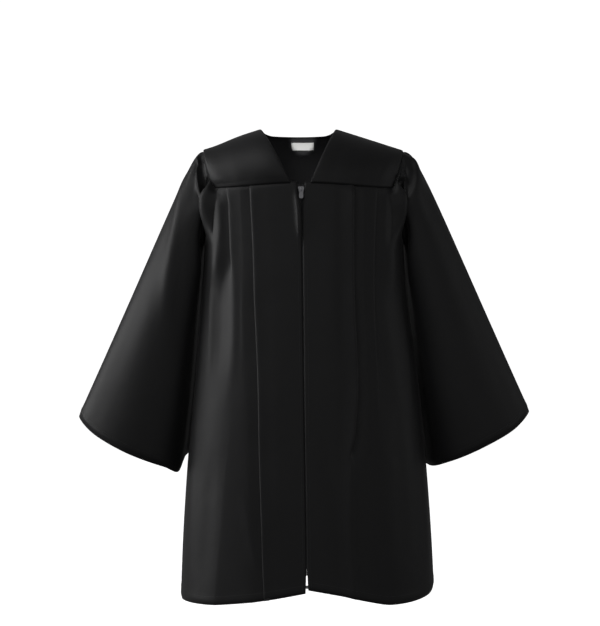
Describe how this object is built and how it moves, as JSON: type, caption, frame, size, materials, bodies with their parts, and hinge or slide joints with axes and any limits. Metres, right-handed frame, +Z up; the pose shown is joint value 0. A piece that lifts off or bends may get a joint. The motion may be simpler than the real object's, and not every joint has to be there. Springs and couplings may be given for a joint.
{
  "type": "graduation gown",
  "caption": "Child's graduation gown in black satin-like cloth: V neck, yoke, pleated fronts, front zip with pull tab and wide bell sleeves, hanging open as if worn.",
  "frame": {"origin": "at the base of the neck, midway between the shoulder ends, level with the shoulder seams' neck ends: where the wearer's shoulders hold the gown up", "axes": "+Z up along the gown, the front faces -Y, +X to the right of the front view (the wearer's left)"},
  "size_m": [0.6513, 0.2359, 0.6706],
  "materials": {
    "cloth": "black satin-like woven cloth with a soft sheen",
    "zip_tape": "black woven tape",
    "zip_metal": "dark grey metal, half gloss",
    "label": "white woven label, blank"
  },
  "bodies": {
    "gown": {"front_left": "cloth", "front_right": "cloth", "back": "cloth", "yoke_front_left": "cloth", "yoke_front_right": "cloth", "yoke_back": "cloth", "sleeve_left": "cloth", "sleeve_right": "cloth", "zip_tape_left": "zip_tape", "zip_tape_right": "zip_tape", "zip_slider": "zip_metal", "zip_box": "zip_metal", "neck_label": "label"},
    "zip_pull": {"zip_pull": "zip_metal"}
  },
  "joints": [
    {"name": "pull_swing", "type": "hinge", "parent": "gown", "child": "zip_pull", "pos_m": [-0.00349, -0.08642, -0.09339], "axis": [-1, 0, 0], "range_deg": [0, 150]}
  ]
}
